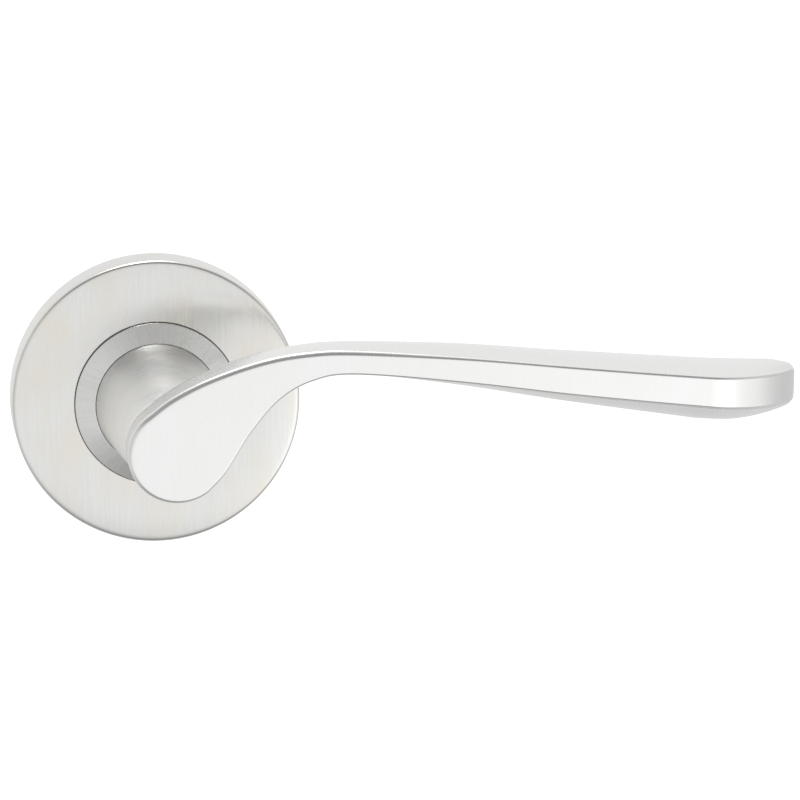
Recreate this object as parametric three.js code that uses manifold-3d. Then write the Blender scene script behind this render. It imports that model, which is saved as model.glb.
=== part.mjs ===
// Lever handle on a round rose: one side of a door's lever lockset, with the sprung mounting plate,
// spindle and through bolts that it needs to work.
//
// Millimetres. The door face is the plane y = 0 and the handle stands out of it towards -Y; +Z is up
// and +X runs along the lever. The origin is where the spindle's axis crosses the door face.
// Distances "out" are measured from the door face towards the user, so a point's y is minus its out.

import * as THREE from 'three';
import { mergeVertices } from 'three/addons/utils/BufferGeometryUtils.js';
import Module from 'manifold-3d';

const wasm = await Module();
wasm.setup();

// ---------------------------------------------------------------- driving dimensions

const GAP = 0.3;                    // clearance between neighbouring pieces
const ROUNDS = 56;                  // facets round a large turned piece

const ROSE_RADIUS = 32.5;           // 65 mm rose
const ROSE_DEPTH = 10;              // door face to the front of the rose
const COVER_WALL = 1.2;             // pressed sheet
const COVER_HOLE_RADIUS = 18.45;
const COVER_DRAFT = 0.25;           // how much smaller the side wall is at its front
const COVER_FALL = 0.5;             // the face falls away this much from its middle to its rim
const COVER_FLAT_RADIUS = 22;       // where the fall begins

const COLLAR_RADIUS = 18.1;         // raised ring between rose cover and neck
const COLLAR_BORE = 14.2;
const COLLAR_EDGE_FRONT = 10.6;     // out of the ring's outer edge, just proud of the rose
const COLLAR_FRONT = 11.9;          // out of its inner edge, at the neck's foot

const PROJECTION = 62;              // door face to the lever's front face
const HEAD_RADIUS = 10.2;           // round end of the lever, on the spindle axis
const HEAD_DEPTH = 11.5;            // front to back
const NECK_FOOT_RADIUS = 13.85;
const NECK_TOP_RADIUS = 9.9;        // the neck is a plain cone
const GRIP_END = 138;               // spindle axis to the end of the grip

const SHANK_RADIUS = 10;            // journal that turns in the bush
const SHANK_FLATS = 16;             // across the two flats that drive the cam
const FLATS_FRONT = 5.8;            // out of where the flats end
const SHANK_BACK = 0.5;             // out of the shank's rear end
const SHOULDER_OUT = 9.7;           // where the neck steps down to the shank
const GROOVE_RADIUS = 9.1;          // circlip groove
const GROOVE = { back: 1.4, front: 3.1 };

const SPINDLE_SIDE = 8;             // square bar
const SPINDLE_LENGTH = 100;
const SPINDLE_FRONT = 29;           // out of its front end, inside the neck
const SOCKET_BOTTOM = 32;
const GRUB_RADIUS = 2.95;           // M6 grub screw
const GRUB_LENGTH = 6.6;
const GRUB_OUT = 18;

const BOLT_PITCH = 50;              // centre to centre, on the vertical
const BOLT_RADIUS = 2;              // M4
const BOLT_TIP = -22;               // out of the bolt's end, behind the door face
const BOLT_HEAD = { radius: 3.8, back: 3.3, front: 5.5, recess: 4.4, depth: 1.2 };
const POST_RADIUS = 3.6;
const POST = { back: -8, front: 2.7, bore: 2.35 }; // the posts locate in the door's holes

const PLATE_RADIUS = 30.7;          // die-cast mounting plate
const WEB_THICKNESS = 2.6;
const RIM_INNER_RADIUS = 28.9;
const RIM_FRONT = 8;
const DOME_RADIUS = 20.2;           // spring housing cast into the plate
const DOME_FRONT = 7.8;
const POCKET_RADIUS = 18.6;         // spring pocket, open at the back
const POCKET_BOTTOM = 6.4;
const SPIGOT_RADIUS = 16.4;         // carries the collar ring
const SPIGOT_FRONT = 9.4;
const BOSS = { radius: 5.6, front: 6.2, counterbore: 4.3, seat: 3 };
const RIB = { thickness: 1.5, front: 5.7 };
const RIB_ANGLES = [22, 68, 142, 188, 218, 308, 332];

const BUSH_RADIUS = 12;             // flanged nylon bush
const BUSH_BACK = 6;
const BUSH_FLANGE = 1.1;
const BUSH_CLEARANCE = 0.25;

const RETAINER = { back: 0.8, front: 1.8, bore: 13.9 }; // stamped plate over the spring
const EAR_RADIUS = 3.2;
const SCREW_CIRCLE = 22.6;          // three screws hold the retainer
const SCREW_ANGLES = [0, 120, 240];
const SCREW = { radius: 1.45, front: 5, head: 2.5, hole: 1.8, pilot: 5.4, boss: 3.4 };

const WIRE = 1.4;                   // return spring
const COIL_RADIUS = 16.55;
const COIL_BACK = 2.95;
const COIL_PITCH = 1.5;
const COIL_TURNS = 1.6;
const SPRING_FIXED_ANGLE = 250;     // where the leg in the housing's wall stands
const SPRING_MOVING_ANGLE = SPRING_FIXED_ANGLE - 360 * COIL_TURNS; // winds up as the lever turns

const TRAVEL = 45;                  // degrees the lever turns down to its stop
const CAM = { radius: 14.6, back: 3.9, front: 5.7, relief: 12.1 };
const STOP_PIN = { radius: 1.2, circle: 13.7, back: 4.2 };
const STOP_ANGLE = 200;             // where the pin stands, degrees from +X towards +Z
const CIRCLIP = { radius: 12.1, bore: 9.5, back: 1.7, front: 2.8 };
const CIRCLIP_LUG = { radius: 1.6, x: 2.7, z: 11.5, hole: 0.8 };
const WASHER = { radius: 13, back: 3.1, front: 3.6 };

const CLIP_WIDTH = 5;               // three spring clips hold the rose cover
const CLIP_STRIP = 0.5;
const CLIP_ANGLES = [45, 165, 285];
const CLIP_SEAT_RADIUS = 29.6;      // floor of the rim's notch under a clip
const CLIP_GATE_FRONT = 7.2;        // the rim's front where a clip crosses it

// ---------------------------------------------------------------- materials

function metal(color, roughness, metalness = 1) {
  return new THREE.MeshStandardMaterial({ color, roughness, metalness });
}

const SATIN_STAINLESS = metal(0xcfcfcb, 0.32);
const ZINC_CASTING = metal(0x9a9c9d, 0.5);
const PLATED_STEEL = metal(0xb9b6a8, 0.35);
const SPRING_STEEL = metal(0x6f7072, 0.4);
const BLACK_STEEL = metal(0x2c2c2d, 0.5);
const NYLON = metal(0xe9e6dc, 0.6, 0);

// ---------------------------------------------------------------- solids

const smooth = THREE.MathUtils.smoothstep;
const mix = THREE.MathUtils.lerp;
const clamp = THREE.MathUtils.clamp;

// A geometry as a manifold-3d solid, turned right side out if its faces point inwards.
function solidOf(geometry) {
  const bare = geometry.index ? geometry.toNonIndexed() : geometry.clone();
  for (const name of Object.keys(bare.attributes)) {
    if (name !== 'position') bare.deleteAttribute(name);
  }
  const merged = mergeVertices(bare, 1e-4);
  const vertProperties = new Float32Array(merged.attributes.position.array);
  const triVerts = new Uint32Array(merged.index.array);
  const make = () => new wasm.Manifold(new wasm.Mesh({ numProp: 3, vertProperties, triVerts }));
  const made = make();
  if (made.volume() > 0) return made;
  for (let i = 0; i < triVerts.length; i += 3) {
    [triVerts[i + 1], triVerts[i + 2]] = [triVerts[i + 2], triVerts[i + 1]];
  }
  return make();
}

function geometryOf(solid) {
  const mesh = solid.getMesh();
  const position = new Float32Array(mesh.numVert * 3);
  for (let i = 0; i < mesh.numVert; i++) {
    position.set(mesh.vertProperties.subarray(i * mesh.numProp, i * mesh.numProp + 3), i * 3);
  }
  const geometry = new THREE.BufferGeometry();
  geometry.setAttribute('position', new THREE.BufferAttribute(position, 3));
  geometry.setIndex(new THREE.BufferAttribute(mesh.triVerts, 1));
  geometry.computeVertexNormals();
  return geometry;
}

// A turned solid round the spindle axis. The profile is [radius, out] pairs; it closes on itself.
function turned(profile, segments = ROUNDS) {
  const points = profile.map(([radius, out]) => new THREE.Vector2(radius, -out));
  points.push(points[0].clone());
  return solidOf(new THREE.LatheGeometry(points, segments));
}

// A disc or cylinder on the spindle axis, or on an axis parallel to it through (x, z).
function disc(radius, back, front, { x = 0, z = 0, segments = 24 } = {}) {
  const geometry = new THREE.CylinderGeometry(radius, radius, front - back, segments);
  geometry.translate(x, -(front + back) / 2, z);
  return solidOf(geometry);
}

// A flat outline in the x, z plane, thickened from back to front.
function plate(shape, back, front, curveSegments = 16) {
  const geometry = new THREE.ExtrudeGeometry(shape, {
    depth: front - back,
    bevelEnabled: false,
    curveSegments,
  });
  geometry.rotateX(Math.PI / 2); // the outline's second axis becomes +Z and its depth runs to -Y
  geometry.translate(0, -back, 0);
  return solidOf(geometry);
}

function box(width, depth, height, x, out, z) {
  const geometry = new THREE.BoxGeometry(width, depth, height);
  geometry.translate(x, -out, z);
  return solidOf(geometry);
}

// The same solid turned round the spindle axis, from +X towards +Z.
function turnedTo(solid, degrees) {
  return solid.rotate([0, -degrees, 0]);
}

function onCircle(radius, degrees) {
  const angle = THREE.MathUtils.degToRad(degrees);
  return { x: radius * Math.cos(angle), z: radius * Math.sin(angle) };
}

// Points of a quarter round from angle a to b (degrees) about a centre, as [radius, out] pairs.
function round(centreRadius, centreOut, radius, a, b, steps = 4) {
  const points = [];
  for (let i = 0; i <= steps; i++) {
    const angle = THREE.MathUtils.degToRad(a + ((b - a) * i) / steps);
    points.push([centreRadius + radius * Math.cos(angle), centreOut + radius * Math.sin(angle)]);
  }
  return points;
}

// A sector between two radii and two angles in degrees, for cutting.
function sector(inner, outer, from, to, back, front) {
  const shape = new THREE.Shape();
  const a = THREE.MathUtils.degToRad(from);
  const b = THREE.MathUtils.degToRad(to);
  shape.absarc(0, 0, outer, a, b, false);
  shape.absarc(0, 0, inner, b, a, true);
  shape.closePath();
  return plate(shape, back, front, 10);
}

const part = new THREE.Group();
part.name = 'lever_handle_on_round_rose';

function add(name, solid, material) {
  const mesh = new THREE.Mesh(geometryOf(solid), material);
  mesh.name = name;
  part.add(mesh);
  return mesh;
}

// ---------------------------------------------------------------- rose

function roseCover() {
  const edge = 0.9;
  const lip = 0.2;
  const frontRadius = ROSE_RADIUS - COVER_DRAFT;
  const rimRadius = frontRadius - edge;
  const rimFront = ROSE_DEPTH - COVER_FALL;
  const face = [0.25, 0.5, 0.75].map((share) => [
    mix(rimRadius, COVER_FLAT_RADIUS, share),
    ROSE_DEPTH - COVER_FALL * (1 - share) ** 2.4,
  ]);
  return turned([
    [ROSE_RADIUS, 0],
    ...round(rimRadius, rimFront - edge, edge, 0, 85),
    ...face,
    [COVER_FLAT_RADIUS, ROSE_DEPTH],
    ...round(COVER_HOLE_RADIUS + lip, ROSE_DEPTH - lip, lip, 90, 180, 2),
    [COVER_HOLE_RADIUS, ROSE_DEPTH - COVER_WALL],
    [frontRadius - COVER_WALL, rimFront - COVER_WALL],
    [ROSE_RADIUS - COVER_WALL, 0],
  ]);
}

// The ring's front slopes outwards from its rounded rim up to the foot of the neck.
function collarRing() {
  const edge = 0.3;
  const seat = SPIGOT_RADIUS + GAP;
  return turned([
    [seat, DOME_FRONT + GAP],
    [COLLAR_RADIUS, DOME_FRONT + GAP],
    ...round(COLLAR_RADIUS - edge, COLLAR_EDGE_FRONT - edge, edge, 0, 80),
    [COLLAR_BORE, COLLAR_FRONT],
    [COLLAR_BORE, SPIGOT_FRONT + GAP],
    [seat, SPIGOT_FRONT + GAP],
  ]);
}

function neckBush() {
  const bore = SHANK_RADIUS + BUSH_CLEARANCE;
  const flangeBack = SPIGOT_FRONT - BUSH_FLANGE;
  return turned([
    [bore, BUSH_BACK],
    [BUSH_RADIUS, BUSH_BACK],
    [BUSH_RADIUS, flangeBack],
    [NECK_FOOT_RADIUS, flangeBack],
    [NECK_FOOT_RADIUS, SPIGOT_FRONT],
    [bore, SPIGOT_FRONT],
  ]);
}

// ---------------------------------------------------------------- mounting plate

// A tab from the inner radius out to a round end at (x, z).
function ear({ x, z }, radius, inner) {
  const angle = Math.atan2(z, x);
  const across = { x: -Math.sin(angle) * radius, z: Math.cos(angle) * radius };
  const root = { x: Math.cos(angle) * inner, z: Math.sin(angle) * inner };
  const shape = new THREE.Shape();
  shape.moveTo(root.x - across.x, root.z - across.z);
  shape.lineTo(x - across.x, z - across.z);
  shape.absarc(x, z, radius, angle - Math.PI / 2, angle + Math.PI / 2, false);
  shape.lineTo(root.x + across.x, root.z + across.z);
  shape.closePath();
  return shape;
}

const EAR_ROOT = 15;
const THROUGH = { back: -1, front: 12 }; // a cut right through the plate

function plateBody() {
  const counterbore = NECK_FOOT_RADIUS + GAP;
  const bushSeat = SPIGOT_FRONT - BUSH_FLANGE - GAP;
  const fillet = 0.8;
  return turned([
    [POCKET_RADIUS, 0],
    [PLATE_RADIUS, 0],
    [PLATE_RADIUS, RIM_FRONT],
    [RIM_INNER_RADIUS, RIM_FRONT],
    [RIM_INNER_RADIUS, WEB_THICKNESS],
    [DOME_RADIUS, WEB_THICKNESS],
    ...round(DOME_RADIUS - fillet, DOME_FRONT - fillet, fillet, 0, 90, 2),
    [SPIGOT_RADIUS, DOME_FRONT],
    [SPIGOT_RADIUS, SPIGOT_FRONT],
    [counterbore, SPIGOT_FRONT],
    [counterbore, bushSeat],
    [BUSH_RADIUS + GAP, bushSeat],
    [BUSH_RADIUS + GAP, POCKET_BOTTOM],
    [POCKET_RADIUS, POCKET_BOTTOM],
  ]);
}

function mountingPlate() {
  let casting = plateBody();

  // Radial ribs from the spring housing to the rim, rooted a little way into the web.
  const root = WEB_THICKNESS - 0.3;
  const ribLength = RIM_INNER_RADIUS - DOME_RADIUS + 2;
  const ribMiddle = (RIM_INNER_RADIUS + DOME_RADIUS) / 2;
  const ribOut = (root + RIB.front) / 2;
  for (const degrees of RIB_ANGLES) {
    const rib = box(ribLength, RIB.front - root, RIB.thickness, ribMiddle, ribOut, 0);
    casting = casting.add(turnedTo(rib, degrees));
  }

  // Round bosses for the through bolts, counterbored for their heads and bored for the posts.
  for (const z of [BOLT_PITCH / 2, -BOLT_PITCH / 2]) {
    casting = casting.add(disc(BOSS.radius, 1, BOSS.front, { z }));
    casting = casting.subtract(disc(BOSS.counterbore, BOSS.seat, THROUGH.front, { z }));
    casting = casting.subtract(disc(POST_RADIUS + GAP, THROUGH.back, THROUGH.front, { z }));
  }

  // The retainer and its ears sit in a rebate in the back; its screws go into blind holes.
  const rebate = RETAINER.front + GAP;
  casting = casting.subtract(disc(POCKET_RADIUS + 0.7, THROUGH.back, rebate, { segments: ROUNDS }));
  for (const degrees of SCREW_ANGLES) {
    const centre = onCircle(SCREW_CIRCLE, degrees);
    const pilot = disc(SCREW.hole, 0, SCREW.pilot, { ...centre, segments: 16 });
    casting = casting.add(disc(SCREW.boss, 1, SCREW.pilot + 1, centre));
    casting = casting.subtract(plate(ear(centre, EAR_RADIUS + GAP, EAR_ROOT), THROUGH.back, rebate));
    casting = casting.subtract(pilot);
  }

  // Notches in the rim for the cover clips.
  const gap = CLIP_WIDTH + 2 * GAP;
  const legBack = WEB_THICKNESS + 0.7;
  for (const degrees of CLIP_ANGLES) {
    const depth = RIM_FRONT + 1 - legBack;
    const notch = box(3, depth, gap, CLIP_SEAT_RADIUS + 1.5, legBack + depth / 2, 0);
    const gate = box(6, 2, gap, RIM_INNER_RADIUS + 1, CLIP_GATE_FRONT + 1, 0);
    casting = casting.subtract(turnedTo(notch, degrees)).subtract(turnedTo(gate, degrees));
  }

  // A slot for the spring's fixed leg and a hole for the stop pin.
  const slot = box(2.4, 3.6, WIRE + 1, POCKET_RADIUS + 0.6, 1.6, 0);
  const pin = { ...onCircle(STOP_PIN.circle, STOP_ANGLE), segments: 16 };
  return casting
    .subtract(turnedTo(slot, SPRING_FIXED_ANGLE))
    .subtract(disc(STOP_PIN.radius + GAP, STOP_PIN.back, THROUGH.front, pin));
}

function springRetainer() {
  const { back, front, bore } = RETAINER;
  let cover = disc(POCKET_RADIUS + 0.4, back, front, { segments: ROUNDS });
  for (const degrees of SCREW_ANGLES) {
    const centre = onCircle(SCREW_CIRCLE, degrees);
    cover = cover.add(plate(ear(centre, EAR_RADIUS, EAR_ROOT), back, front));
    cover = cover.subtract(disc(SCREW.hole, 0, front + 1, { ...centre, segments: 16 }));
  }
  return cover.subtract(disc(bore, 0, front + 1, { segments: ROUNDS }));
}

// A cruciform driver recess, sunk by its depth from "out"; a negative depth sinks it from behind.
function crossRecess({ x, z }, out, size, depth) {
  const middle = out - depth / 2;
  const sunk = Math.abs(depth) + 0.02;
  const across = box(size, sunk, size / 4, x, middle, z);
  return across.add(box(size / 4, sunk, size, x, middle, z));
}

function retainerScrew(degrees) {
  const centre = onCircle(SCREW_CIRCLE, degrees);
  const headFront = RETAINER.back - 0.05;
  const head = disc(SCREW.head, 0.02, headFront, { ...centre, segments: 16 });
  const thread = disc(SCREW.radius, 0.4, SCREW.front, { ...centre, segments: 16 });
  return head.add(thread).subtract(crossRecess(centre, 0, SCREW.head, -0.5));
}

function throughBolt(z) {
  const { radius, back, front, recess, depth } = BOLT_HEAD;
  const head = disc(radius, back, front, { z });
  const shaft = disc(BOLT_RADIUS, BOLT_TIP, back + 1, { z, segments: 16 });
  return head.add(shaft).subtract(crossRecess({ x: 0, z }, front, recess, depth));
}

function boltPost(z) {
  const sleeve = disc(POST_RADIUS, POST.back, POST.front, { z });
  return sleeve.subtract(disc(POST.bore, POST.back - 1, POST.front + 1, { z, segments: 16 }));
}

// A hairpin strip over the rim: a leg inside it, and a bowed leg outside that grips the cover.
function coverClip(degrees) {
  const legEnd = 3.6;
  const bow = 0.6;
  const inside = RIM_INNER_RADIUS - GAP;
  const outside = CLIP_SEAT_RADIUS + GAP;
  const top = CLIP_GATE_FRONT + GAP;
  const middle = (legEnd + top) / 2;
  const shape = new THREE.Shape();
  shape.moveTo(inside, legEnd);
  shape.lineTo(inside, top);
  shape.lineTo(outside, top);
  shape.quadraticCurveTo(outside + bow, middle, outside, legEnd + 0.6);
  shape.lineTo(outside + CLIP_STRIP, legEnd + 0.6);
  shape.quadraticCurveTo(outside + bow + CLIP_STRIP, middle, outside + CLIP_STRIP, top + CLIP_STRIP);
  shape.lineTo(inside - CLIP_STRIP, top + CLIP_STRIP);
  shape.lineTo(inside - CLIP_STRIP, legEnd);
  shape.closePath();
  const geometry = new THREE.ExtrudeGeometry(shape, {
    depth: CLIP_WIDTH,
    bevelEnabled: false,
    curveSegments: 5,
  });
  geometry.translate(0, 0, -CLIP_WIDTH / 2);
  geometry.scale(1, -1, 1); // the outline is drawn with "out" upwards
  return turnedTo(solidOf(geometry), degrees);
}

// ---------------------------------------------------------------- spring mechanism

// The spring's centre line: a leg into the housing's wall, the coil, and a leg in towards the cam.
class SpringPath extends THREE.Curve {
  getPoint(t, target = new THREE.Vector3()) {
    const legShare = 0.04;
    const along = clamp((t - legShare) / (1 - 2 * legShare), 0, 1);
    const angle = THREE.MathUtils.degToRad(mix(SPRING_FIXED_ANGLE, SPRING_MOVING_ANGLE, along));
    const outwards = 1.9 * Math.max(0, 1 - t / legShare);
    const inwards = 2.6 * Math.max(0, 1 - (1 - t) / legShare);
    const radius = COIL_RADIUS + outwards - inwards;
    const out = COIL_BACK + COIL_PITCH * COIL_TURNS * along;
    return target.set(radius * Math.cos(angle), -out, radius * Math.sin(angle));
  }
}

function returnSpring() {
  const section = new THREE.Shape();
  section.absarc(0, 0, WIRE / 2, 0, 2 * Math.PI, false);
  return solidOf(new THREE.ExtrudeGeometry(section, {
    steps: 64,
    extrudePath: new SpringPath(),
    curveSegments: 4,
    bevelEnabled: false,
  }));
}

// A bore with the shank's two flats.
function flattedBore(back, front) {
  const depth = front - back;
  const bore = disc(SHANK_RADIUS + GAP, back, front, { segments: ROUNDS });
  return bore.intersect(box(SHANK_FLATS + 2 * GAP, depth, 3 * SHANK_RADIUS, 0, back + depth / 2, 0));
}

function springCam() {
  const { radius, back, front, relief } = CAM;
  const [below, above] = [back - 1, front + 1];
  const pinHalfAngle = THREE.MathUtils.radToDeg((STOP_PIN.radius + GAP) / STOP_PIN.circle);
  // The stop pin lies at one end of this arc at rest and at the other when the lever is down.
  const from = STOP_ANGLE - pinHalfAngle;
  const to = STOP_ANGLE + TRAVEL + pinHalfAngle;
  const legNotch = box(4, 4, WIRE + 2 * GAP, radius, front - 0.4, 0);
  return disc(radius, back, front, { segments: ROUNDS })
    .subtract(flattedBore(below, above))
    .subtract(sector(relief, radius + 2, from, to, below, above))
    .subtract(turnedTo(legNotch, SPRING_MOVING_ANGLE));
}

function stopPin() {
  const place = { ...onCircle(STOP_PIN.circle, STOP_ANGLE), segments: 16 };
  return disc(STOP_PIN.radius, STOP_PIN.back, DOME_FRONT, place);
}

function circlip() {
  const { radius, bore, back, front } = CIRCLIP;
  const { x: lugX, z: lugZ } = CIRCLIP_LUG;
  const [below, above] = [back - 1, front + 1];
  let ring = disc(radius, back, front, { segments: 40 });
  for (const x of [-lugX, lugX]) {
    ring = ring.add(disc(CIRCLIP_LUG.radius, back, front, { x, z: lugZ, segments: 16 }));
    ring = ring.subtract(disc(CIRCLIP_LUG.hole, below, above, { x, z: lugZ + 0.2, segments: 12 }));
  }
  const mouth = box(2.4, 4, 8, 0, back, radius);
  return ring.subtract(disc(bore, below, above, { segments: 40 })).subtract(mouth);
}

function thrustWasher() {
  const { radius, back, front } = WASHER;
  const bore = disc(SHANK_RADIUS + GAP, back - 1, front + 1, { segments: ROUNDS });
  return disc(radius, back, front, { segments: ROUNDS }).subtract(bore);
}

// ---------------------------------------------------------------- lever

// Edges of the lever's front face as matching pairs of points, upper [x, z] and lower [x, z], from
// the head's diameter out to the end of the grip.
const HEAD_TILT = 128; // degrees from +X of the diameter's upper end
const headUpper = onCircle(HEAD_RADIUS, HEAD_TILT);
const headLower = onCircle(HEAD_RADIUS, HEAD_TILT - 180);
const EDGE_PAIRS = [
  [[headUpper.x, headUpper.z], [headLower.x, headLower.z]],
  [[-0.6, 12.1], [9.9, -4.1]],
  [[7.2, 15.8], [15.2, 4.1]],
  [[17.7, 19.1], [21.3, 10.9]],
  [[27, 20.5], [28.2, 14.5]],
  [[37, 20.5], [37, 15.5]],
  [[58.8, 18.5], [58.8, 13.1]],
  [[84, 15.6], [84, 9.4]],
  [[110, 12.8], [110, 6.1]],
  [[GRIP_END, 10.2], [GRIP_END, 2.9]],
];

function edgeCurve(side) {
  const points = EDGE_PAIRS.map((pair) => new THREE.Vector3(pair[side][0], 0, pair[side][1]));
  return new THREE.CatmullRomCurve3(points, false, 'catmullrom', 0.5);
}

const UPPER_EDGE = edgeCurve(0);
const LOWER_EDGE = edgeCurve(1);

// How far round a corner of the grip's end x has come: 0 where it starts, 1 at the very end.
function corner(x, start, power) {
  const along = clamp((x - start) / (GRIP_END - start), 0, 1);
  return 1 - (1 - along ** power) ** (1 / power);
}

// Depths behind the front plane of the lever's front edge and of its back edge. The front curves
// back at the end of the grip to meet the back edge in a short flat.
const TIP_DEPTH = 21;
const TIP_FLAT = 1.4;
const FRONT_CORNER = { start: 114, power: 1.5 };
const BACK_CORNER = { start: 126, power: 2 };
const ARM = { depth: 14.5, start: 22, full: 62 };
const GRIP = { depth: 25, start: 46, full: 126 };

function frontDepth(x) {
  return TIP_DEPTH * corner(x, FRONT_CORNER.start, FRONT_CORNER.power);
}

function backDepth(x) {
  const arm = mix(HEAD_DEPTH, ARM.depth, smooth(x, ARM.start, ARM.full));
  const grip = mix(arm, GRIP.depth, smooth(x, GRIP.start, GRIP.full));
  return mix(grip, TIP_DEPTH + TIP_FLAT, corner(x, BACK_CORNER.start, BACK_CORNER.power));
}

// Half of a section, as [offset from its middle, depth], from the front face back to its closing edge.
const SECTION_STEPS = 7;
const EDGE_BREAK = 0.6;

function halfSection(x, half, swell, power) {
  const front = frontDepth(x);
  const back = backDepth(x);
  const points = [[half - EDGE_BREAK, front], [half, front + EDGE_BREAK]];
  for (let i = 1; i <= SECTION_STEPS; i++) {
    const share = Math.sin((Math.PI / 2) * (i / SECTION_STEPS));
    const closing = Math.sqrt(Math.max(0, 1 - share ** power));
    const bulge = swell * Math.sin(Math.PI * share) * Math.sqrt(closing);
    points.push([half * closing + bulge, mix(front + EDGE_BREAK, back, share)]);
  }
  return points;
}

// The closed section of the lever at s, from 0 at the head to 1 at the end of the grip. It stands on
// the rib between the two edges; the upper half comes first, front to back, then the lower half.
// The top is crowned, the underside has a deeper belly, and both die away towards the end.
const CROWN = { height: 1.6, start: 12, full: 70, fade: 130, gone: 142 };
const BELLY = { height: 4.5, start: 26, full: 112, fade: 118, gone: 148 };
const TIP_ROUND = { share: 0.2, length: 2.5 };

function section(s) {
  const upper = UPPER_EDGE.getPoint(s);
  const lower = LOWER_EDGE.getPoint(s);
  const middle = upper.clone().add(lower).multiplyScalar(0.5);
  const direction = upper.clone().sub(lower).normalize();
  const { x } = middle;
  const endRound = 1 - TIP_ROUND.share * corner(x, GRIP_END - TIP_ROUND.length, 2);
  const half = (upper.distanceTo(lower) / 2) * endRound;
  const rise = smooth(x, CROWN.start, CROWN.full);
  const swell = clamp((x - BELLY.start) / (BELLY.full - BELLY.start), 0, 1) ** 1.1;
  const crown = CROWN.height * rise * (1 - smooth(x, CROWN.fade, CROWN.gone));
  const belly = BELLY.height * swell * (1 - smooth(x, BELLY.fade, BELLY.gone));
  const squareness = mix(12, 6, smooth(x, 20, 80));
  const at = ([offset, depth], side) => new THREE.Vector3(
    x + side * direction.x * offset,
    depth - PROJECTION,
    middle.z + side * direction.z * offset,
  );
  const top = halfSection(x, half, crown, squareness).map((point) => at(point, 1));
  const bottom = halfSection(x, half, belly, squareness).map((point) => at(point, -1));
  return [...top, ...bottom.slice(0, -1).reverse()];
}

function leverBlade() {
  const stations = 40;
  const fan = 10;
  const position = [];
  const triangle = (...points) => points.forEach((p) => position.push(p.x, p.y, p.z));
  const strip = (from, to, j, k) => {
    triangle(from[j], from[k], to[k]);
    triangle(from[j], to[k], to[j]);
  };

  // Arm and grip, lofted through sections that come closer together towards the end.
  const sections = [];
  for (let i = 0; i <= stations; i++) {
    sections.push(section(Math.sin((Math.PI / 2) * (i / stations)) ** 1.15));
  }
  const count = sections[0].length;
  for (let i = 0; i < stations; i++) {
    for (let j = 0; j < count; j++) strip(sections[i], sections[i + 1], j, (j + 1) % count);
  }
  const end = sections[stations];
  for (let j = 1; j < count - 1; j++) triangle(end[0], end[j], end[j + 1]);

  // Head: the first section's upper half swept round the spindle axis to its lower half.
  const seam = SECTION_STEPS + 1;
  const upper = sections[0].slice(0, seam + 1);
  const swept = [];
  for (let i = 0; i <= fan; i++) {
    const turn = new THREE.Matrix4().makeRotationY(-Math.PI * (i / fan));
    swept.push(upper.map((point) => point.clone().applyMatrix4(turn)));
  }
  swept[fan] = [...upper.keys()].map((j) => (j === seam ? upper[seam] : sections[0][count - 1 - j]));
  const front = new THREE.Vector3(0, -PROJECTION, 0);
  for (let i = 0; i < fan; i++) {
    triangle(front, swept[i + 1][0], swept[i][0]);
    for (let j = 0; j < seam; j++) strip(swept[i + 1], swept[i], j, j + 1);
  }
  triangle(front, swept[0][0], swept[fan][0]);

  const geometry = new THREE.BufferGeometry();
  geometry.setAttribute('position', new THREE.Float32BufferAttribute(position, 3));
  return solidOf(geometry);
}

function neckAndShank() {
  const chamfer = 0.4;
  const top = PROJECTION - HEAD_DEPTH / 2;
  return turned([
    [0, SHANK_BACK],
    [SHANK_RADIUS - chamfer, SHANK_BACK],
    [SHANK_RADIUS, SHANK_BACK + chamfer],
    [SHANK_RADIUS, GROOVE.back],
    [GROOVE_RADIUS, GROOVE.back],
    [GROOVE_RADIUS, GROOVE.front],
    [SHANK_RADIUS, GROOVE.front],
    [SHANK_RADIUS, SHOULDER_OUT],
    [NECK_FOOT_RADIUS, SHOULDER_OUT],
    [NECK_FOOT_RADIUS, COLLAR_FRONT],
    [NECK_TOP_RADIUS, PROJECTION - HEAD_DEPTH],
    [NECK_TOP_RADIUS, top],
    [0, top],
  ]);
}

// A cylinder that stands on the vertical through (0, out), between two heights.
function upright(radius, out, low, high, segments = 24) {
  const geometry = new THREE.CylinderGeometry(radius, radius, high - low, segments);
  geometry.rotateX(Math.PI / 2);
  geometry.translate(0, -out, (low + high) / 2);
  return solidOf(geometry);
}

function lever() {
  const wide = 4 * ROSE_RADIUS;
  const flats = box(SHANK_FLATS, wide, wide, 0, FLATS_FRONT - wide / 2, 0);
  const rest = box(wide, wide, wide, 0, FLATS_FRONT + wide / 2, 0);
  const side = SPINDLE_SIDE + 2 * GAP;
  const socketBack = -5;
  const length = SOCKET_BOTTOM - socketBack;
  const socket = box(side, length, side, 0, socketBack + length / 2, 0);
  return neckAndShank()
    .intersect(flats.add(rest))
    .add(leverBlade())
    .subtract(socket)
    .subtract(upright(GRUB_RADIUS + GAP, GRUB_OUT, -1.5 * NECK_FOOT_RADIUS, 0));
}

function grubScrew() {
  const inner = -(SPINDLE_SIDE / 2 + GAP);
  const outer = inner - GRUB_LENGTH;
  const hexKey = upright(1.7, GRUB_OUT, outer - 1, outer + 2.5, 6);
  return upright(GRUB_RADIUS, GRUB_OUT, outer, inner).subtract(hexKey);
}

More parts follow.
